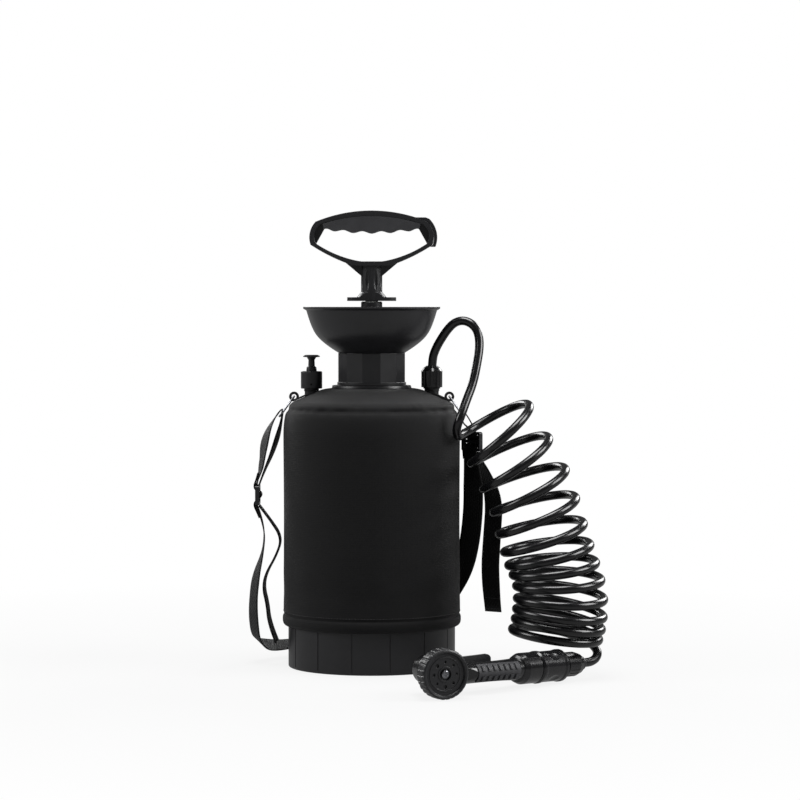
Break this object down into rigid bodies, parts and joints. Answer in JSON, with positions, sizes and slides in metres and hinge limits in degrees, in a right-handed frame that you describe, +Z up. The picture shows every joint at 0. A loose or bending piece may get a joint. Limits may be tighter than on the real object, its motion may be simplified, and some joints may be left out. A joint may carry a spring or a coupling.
{
  "type": "portable pressure shower",
  "caption": "Pump-up camping shower: covered tank with funnel and pull-handle pump, relief valve, shoulder strap, coiled hose and dial spray gun.",
  "frame": {"origin": "on the floor, on the tank's axis, at the middle of the foot's underside", "axes": "+Z up along the tank's axis; the tank's front faces -Y; the hose outlet is on +X and the relief valve on -X"},
  "size_m": [0.3934, 0.418, 0.5145],
  "materials": {
    "plastic_black": "satin moulded",
    "plastic_gloss": "gloss moulded",
    "neoprene": "matt knit-faced foam",
    "webbing": "woven",
    "rubber": "matt",
    "soft_grip": "matt moulded",
    "tube_black": "gloss",
    "chromed_wire": "polished",
    "spring_steel": "bright",
    "tank_plastic": "blow-moulded",
    "clear_tube": "natural"
  },
  "bodies": {
    "tank": {"tank_shell": "tank_plastic", "base_foot": "plastic_black", "neoprene_cover": "neoprene", "neck_ring": "plastic_black", "funnel_gasket": "rubber", "funnel": "plastic_black", "relief_washer": "rubber", "relief_body": "plastic_black", "outlet_washer": "rubber", "outlet_fitting": "plastic_black", "outlet_nut": "plastic_gloss", "dip_tube": "clear_tube", "suction_filter": "clear_tube", "strap_lug_left": "plastic_black", "strap_lug_right": "plastic_black", "hook_link_left": "chromed_wire", "hook_link_right": "chromed_wire", "tri_glide_left": "plastic_black", "tri_glide_right": "plastic_black", "strap_loop_left": "webbing", "strap_loop_right": "webbing", "strap_main": "webbing", "strap_tail_left": "webbing", "strap_tail_right": "webbing", "gun_body": "plastic_gloss", "grip_pad": "soft_grip", "trigger_pin": "spring_steel", "gun_plug": "plastic_black", "connector_core": "plastic_gloss", "connector_nut": "plastic_gloss", "strain_relief": "plastic_black", "hose_bow": "tube_black", "hose_coil": "tube_black", "hose_tail": "tube_black", "dial_screw": "spring_steel"},
    "pump": {"pump_head": "plastic_black", "pump_o_ring": "rubber", "pump_cylinder": "plastic_black", "cylinder_foot": "clear_tube", "check_valve_disc": "rubber", "rod_guide": "clear_tube"},
    "piston_set": {"piston": "plastic_black", "cup_seal": "rubber"},
    "handle": {"piston_rod": "plastic_black", "handle_frame": "plastic_black", "finger_grip": "soft_grip", "handle_clip": "plastic_black"},
    "relief": {"relief_knob": "plastic_black", "relief_seal": "rubber", "relief_spring": "spring_steel"},
    "gate_left": {"hook_gate_left": "chromed_wire"},
    "gate_right": {"hook_gate_right": "chromed_wire"},
    "trigger": {"trigger_lever": "plastic_black"},
    "valve": {"valve_stem": "clear_tube"},
    "dial": {"spray_dial": "plastic_black", "dial_face": "plastic_black"},
    "sleeve": {"connector_sleeve": "plastic_gloss"}
  },
  "joints": [
    {"name": "pump_lift", "type": "slide", "parent": "tank", "child": "pump", "axis": [0, 0, 1], "range_m": [0, 0.3]},
    {"name": "pump_stroke", "type": "slide", "parent": "pump", "child": "piston_set", "axis": [0, 0, 1], "range_m": [0, 0.19]},
    {"name": "handle_turn", "type": "hinge", "parent": "piston_set", "child": "handle", "pos_m": [0, 0, 0.42], "axis": [0, 0, 1], "continuous": true},
    {"name": "relief_pull", "type": "slide", "parent": "tank", "child": "relief", "axis": [0, 0, 1], "range_m": [0, 0.004], "stiffness_N_per_m": 400, "springref_m": -0.002, "deforming": ["relief_spring"]},
    {"name": "gate_left_open", "type": "hinge", "parent": "tank", "child": "gate_left", "pos_m": [-0.10012, -0.01374, 0.28795], "axis": [0.809, 0, -0.5878], "range_deg": [0, 20], "stiffness_Nm_per_rad": 0.02},
    {"name": "gate_right_open", "type": "hinge", "parent": "tank", "child": "gate_right", "pos_m": [0.10012, -0.01374, 0.28795], "axis": [0.809, 0, 0.5878], "range_deg": [0, 20], "stiffness_Nm_per_rad": 0.02},
    {"name": "trigger_squeeze", "type": "hinge", "parent": "tank", "child": "trigger", "pos_m": [0.07437, -0.23315, 0.0267], "axis": [0, 0, -1], "range_deg": [0, 7], "stiffness_Nm_per_rad": 1.2},
    {"name": "valve_slide", "type": "slide", "parent": "tank", "child": "valve", "axis": [0.4226, -0.9063, 0], "range_m": [0, 0.0036]},
    {"name": "dial_turn", "type": "hinge", "parent": "tank", "child": "dial", "pos_m": [0.08, -0.289, 0.0267], "axis": [-0.4226, 0.9063, 0], "continuous": true},
    {"name": "sleeve_pull", "type": "slide", "parent": "tank", "child": "sleeve", "axis": [0.7043, 0.7093, -0.03], "range_m": [0, 0.004], "stiffness_N_per_m": 600}
  ],
  "couplings": [
    {"joint": "valve_slide", "follows": "trigger_squeeze", "m_per_rad": 0.028}
  ]
}
